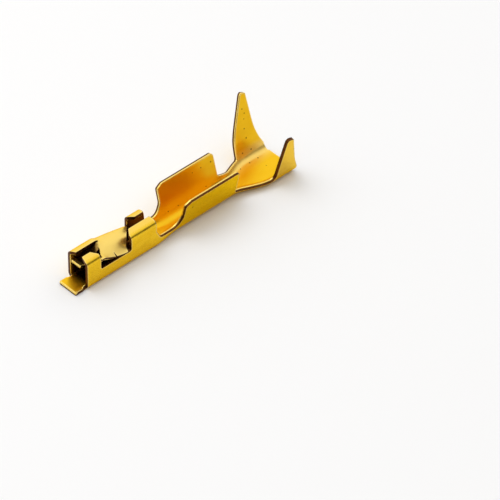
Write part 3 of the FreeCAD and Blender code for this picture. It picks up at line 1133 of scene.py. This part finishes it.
def speckled(tree, colour, specks, face):
    """The colour with dark specks on a face of the sheet: 0 for the outside, 1 for the inside."""
    place = attribute(tree, "blank")["Vector"]
    dark = None
    for x, v, radius in specks:
        gap = node(tree, "ShaderNodeVectorMath", operation="DISTANCE")
        gap.inputs[1].default_value = (x, v, face)
        tree.links.new(place, gap.inputs[0])
        here = ramp(tree, gap.outputs["Value"], radius * 0.5, radius, 0.8, 0)
        dark = math_of(tree, "MAXIMUM", dark, here) if dark else here
    return tint(tree, dark, colour, SPECK_AND_SHADE)


print("specks:", len(INNER_SPECKS), "inside and", len(OUTER_SPECKS), "outside")

# %% [markdown]
# The outside is clean and bright. The inside is painted a deeper gold, painted shade standing for
# the light that bounces from gold to gold, and it takes the painted shade of the box. Along each
# cut edge the plating is thinner and paler. Both faces are one recipe with different colours. The
# uneven patches are a bump some hundredths of a millimetre deep but wide, and the grain is far
# finer. Together they break up the reflections.

# %% Plate it with gold
GRAZING = (1.0, 0.82, 0.38, 1)
UNEVEN_DEPTH = 0.024
GRAIN_DEPTH = 0.0006
PALE_RIM = 0.09


def plated(name, first, second, rough, specks, face):
    """Gold plating with a grain and uneven patches, with painted shade and a painted highlight
    where the mesh says so.
    """
    material, tree, shader = set_up(name)
    uneven = patches(tree, 0.9, (1.4, 1, 0.8), 2.0)
    grain = patches(tree, 0.03, (14, 1, 1), 3.0)
    rim = ramp(tree, attribute(tree, "edge_gap")["Fac"], 0.0, PALE_RIM, 0.7, 0)
    highlight_satin = attribute(tree, "highlight_satin")["Fac"]
    colour = tint(tree, ramp(tree, uneven, 0.35, 0.7, 0, 1), first, second)
    colour = tint(tree, rim, colour, PALE_GOLD)
    # Painted highlight: the marked faces are mixed half way towards pale gold.
    colour = tint(tree, ramp(tree, highlight_satin, 0, 1, 0, 0.5), colour, PALE_GOLD)
    colour = speckled(tree, colour, specks, face)
    # Painted shade: the colour is darkened towards near black inside the box and on the beam's
    # root.
    colour = tint(tree, attribute(tree, "painted_shade")["Fac"], colour, SPECK_AND_SHADE)
    tree.links.new(colour, shader.inputs["Base Color"])
    shader.inputs["Metallic"].default_value = 1
    shader.inputs["Specular Tint"].default_value = GRAZING
    smooth = ramp(tree, grain, 0.3, 0.7, rough - 0.04, rough + 0.06)
    rougher = math_of(tree, "ADD", smooth, ramp(tree, highlight_satin, 0, 1, 0, 0.08))
    tree.links.new(rougher, shader.inputs["Roughness"])
    bumps(tree, shader, (uneven, UNEVEN_DEPTH), (grain, GRAIN_DEPTH))
    return material


gold_plate = plated("gold_plate", GOLD, DULL_GOLD, 0.26, OUTER_SPECKS, 0)
inner_plate = plated("inner_plate", INNER_GOLD, DEEP_GOLD, 0.32, INNER_SPECKS, 1)
print("plated:", gold_plate.name, inner_plate.name)

# %% [markdown]
# The strip was plated before it was stamped. So the torn band shows the bare copper alloy, rough
# and dull, and it is painted near black, far darker than the alloy: painted shade for the dark
# these edges take on, on top of the alloy's own dull brown. The sliced band is smeared with gold
# and is the smoothest of all. Both carry fine marks across the edge, which the punch left. The
# metal is the same idea twice, so one function makes it.

# %% The metal of the cut edges
# Partly painted shade: the torn band's alloy colours are near black, much darker than bare alloy.
BARE_ALLOY_AND_SHADE = (0.14, 0.05, 0.012)
DARK_ALLOY_AND_SHADE = (0.09, 0.03, 0.008)


def edge_metal(name, colour, other, rough, depth):
    """The metal of a cut edge, with fine marks across it."""
    material, tree, shader = set_up(name)
    marked = patches(tree, 0.03, (1, 1, 2.5), 4.0)
    streaks = tint(tree, ramp(tree, marked, 0.35, 0.65, 0, 1), colour, other)
    roughness = ramp(tree, marked, 0.3, 0.7, rough - 0.06, rough + 0.1)
    tree.links.new(streaks, shader.inputs["Base Color"])
    tree.links.new(roughness, shader.inputs["Roughness"])
    shader.inputs["Metallic"].default_value = 1
    bumps(tree, shader, (marked, depth))
    return material


torn_edge = edge_metal("torn_edge", BARE_ALLOY_AND_SHADE, DARK_ALLOY_AND_SHADE, 0.45, 0.004)
sliced_edge = edge_metal("sliced_edge", PALE_GOLD, GOLD, 0.24, 0.001)
for finish in (gold_plate, torn_edge, sliced_edge, inner_plate):
    contact.data.materials.append(finish)
print("finishes:", [m.name for m in contact.data.materials])

# %% [markdown]
# The contact lay on a white table. The table is a plain sheet of white card, far wider than the
# picture, so that only the contact's shadow shows on it. It lies a hair below the contact, since
# two faces at the same height would flicker.

# %% Lay the floor
CARD_HALF = 600 * MM
CARD_DROP = 0.004 * MM
CARD_WHITE = (0.93, 0.925, 0.92, 1)


def card_floor():
    """A white card under the contact."""
    half = CARD_HALF
    sheet = bpy.data.meshes.new("white_card")
    corners = [(-half, -half, 0), (half, -half, 0), (half, half, 0), (-half, half, 0)]
    sheet.from_pydata(corners, [], [(0, 1, 2, 3)])
    made = bpy.data.objects.new("white_card", sheet)
    bpy.context.scene.collection.objects.link(made)
    made.location.z = shown[0][2] - CARD_DROP
    material, tree, shader = set_up("white_card")
    shader.inputs["Base Color"].default_value = CARD_WHITE
    shader.inputs["Roughness"].default_value = 0.9
    shader.inputs["Specular IOR Level"].default_value = 0.1
    sheet.materials.append(material)
    return made


card = card_floor()
card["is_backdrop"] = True
print("card at", round(card.location.z * 1000, 3), "mm")

# %% [markdown]
# The light is a wide soft ceiling, above the contact and behind it, as a photographer's white
# tent gives. It fades into a room that is dim near the horizon and on the camera's side, which
# draws the dark lines along the bends. One lamp from behind adds the soft shadow in front. More
# lamps would light the table evenly too, but each would leave its own bright spot in the gold.

# %% Light it
CEILING = 1.08
ROOM = 0.18
CEILING_WAY = (0.15, 0.44, 0.885)
CEILING_RIM = (0.10, 0.44)
LAMP_AIM = Vector((7, 0, 1)) * MM
LAMP_DISTANCE = 120 * MM


def soft_sky():
    """A white ceiling, above and behind, that fades into a dim room."""
    world = bpy.data.worlds.new("soft_sky")
    bpy.context.scene.world = world
    world.use_nodes = True
    tree = world.node_tree
    way = node(tree, "ShaderNodeTexCoord")
    towards = node(tree, "ShaderNodeVectorMath", operation="DOT_PRODUCT")
    towards.inputs[1].default_value = CEILING_WAY
    tree.links.new(way.outputs["Generated"], towards.inputs[0])
    level = ramp(tree, towards.outputs["Value"], *CEILING_RIM, ROOM, CEILING)
    tree.links.new(level, tree.nodes["Background"].inputs["Strength"])
    tree.nodes["Background"].inputs["Color"].default_value = (1, 1, 1, 1)
    return world


def soft_lamp(name, azimuth, elevation, size, watts):
    """A square area lamp that looks at the contact from a direction, given in degrees."""
    lamp = bpy.data.lights.new(name, "AREA")
    lamp.shape = "SQUARE"
    lamp.size = size
    lamp.energy = watts
    piece = bpy.data.objects.new(name, lamp)
    bpy.context.scene.collection.objects.link(piece)
    flat = math.cos(math.radians(elevation))
    way = Vector((
        math.cos(math.radians(azimuth)) * flat,
        math.sin(math.radians(azimuth)) * flat,
        math.sin(math.radians(elevation)),
    ))
    piece.location = LAMP_AIM + way * LAMP_DISTANCE
    piece.rotation_mode = "QUATERNION"
    piece.rotation_quaternion = (-way).to_track_quat("-Z", "Y")
    return piece


soft_sky()
soft_lamp("table_light", 115, 62, 90 * MM, 0.026)

# %% [markdown]
# The pictures are only worth something if the model has the real size. So the box round the
# dressed contact is measured once more, and written down beside the box of the plain CAD model.

# %% Check the size and finish
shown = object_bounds()
for label, box in (("cad", cad_box), ("visual", shown)):
    print(label, "box, mm:", [[round(float(c) * 1000, 2) for c in corner] for corner in box])
